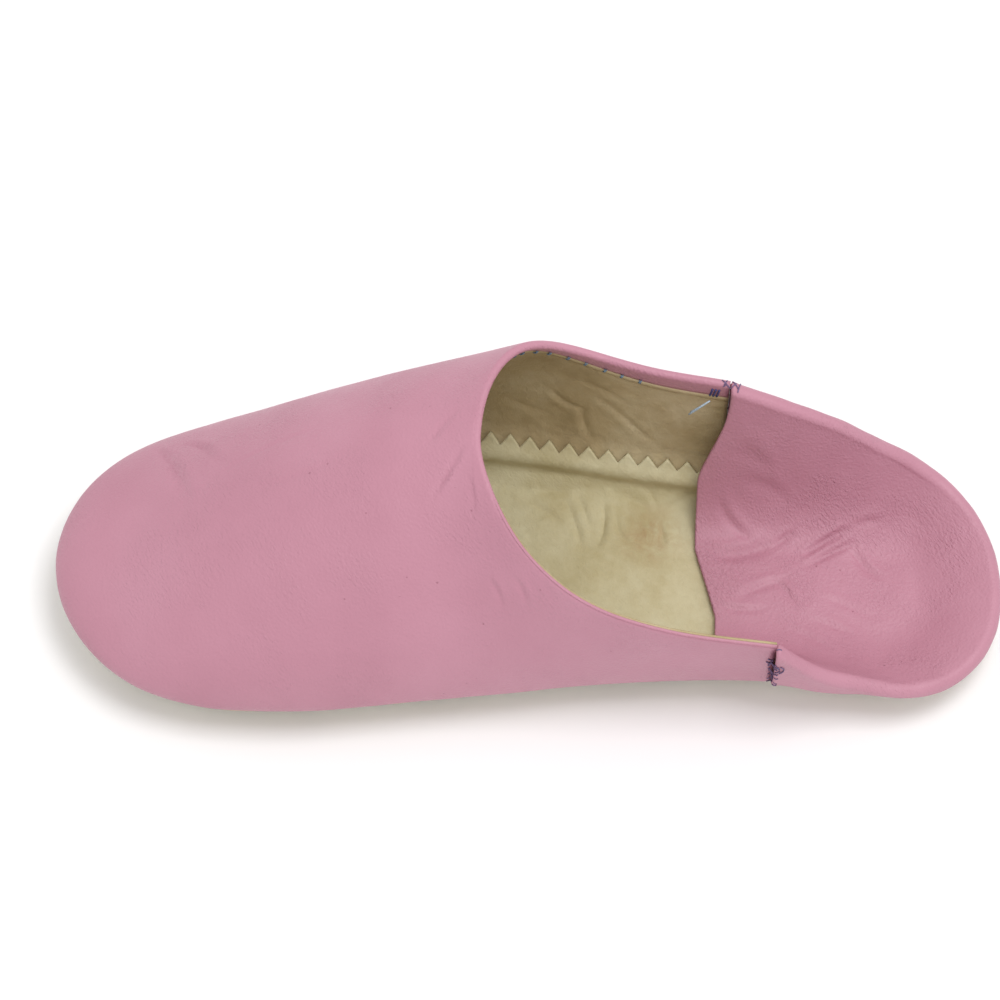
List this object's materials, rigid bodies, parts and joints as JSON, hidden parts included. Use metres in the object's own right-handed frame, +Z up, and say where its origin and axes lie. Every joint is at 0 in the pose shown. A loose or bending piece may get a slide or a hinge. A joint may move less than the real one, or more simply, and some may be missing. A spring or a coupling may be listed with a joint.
{
  "type": "babouche slipper",
  "caption": "Soft leather babouche slipper with a closed round toe, an open collar and its heel quarter folded down inside.",
  "frame": {"origin": "on the floor, below the middle of the slipper's box", "axes": "+X towards the toe, +Y towards the medial side, which is the wearer's left, +Z up"},
  "size_m": [0.2564, 0.0942, 0.0716],
  "materials": {
    "pink_leather": "fine-grained, soft sheen",
    "lining_leather": "matt, wrinkled",
    "sole_leather": "matt, browner below",
    "thread": "waxed, matt"
  },
  "bodies": {
    "root": {"upper": "pink_leather", "heel_quarter": "pink_leather", "insole": "lining_leather", "outsole": "sole_leather"}
  },
  "joints": []
}
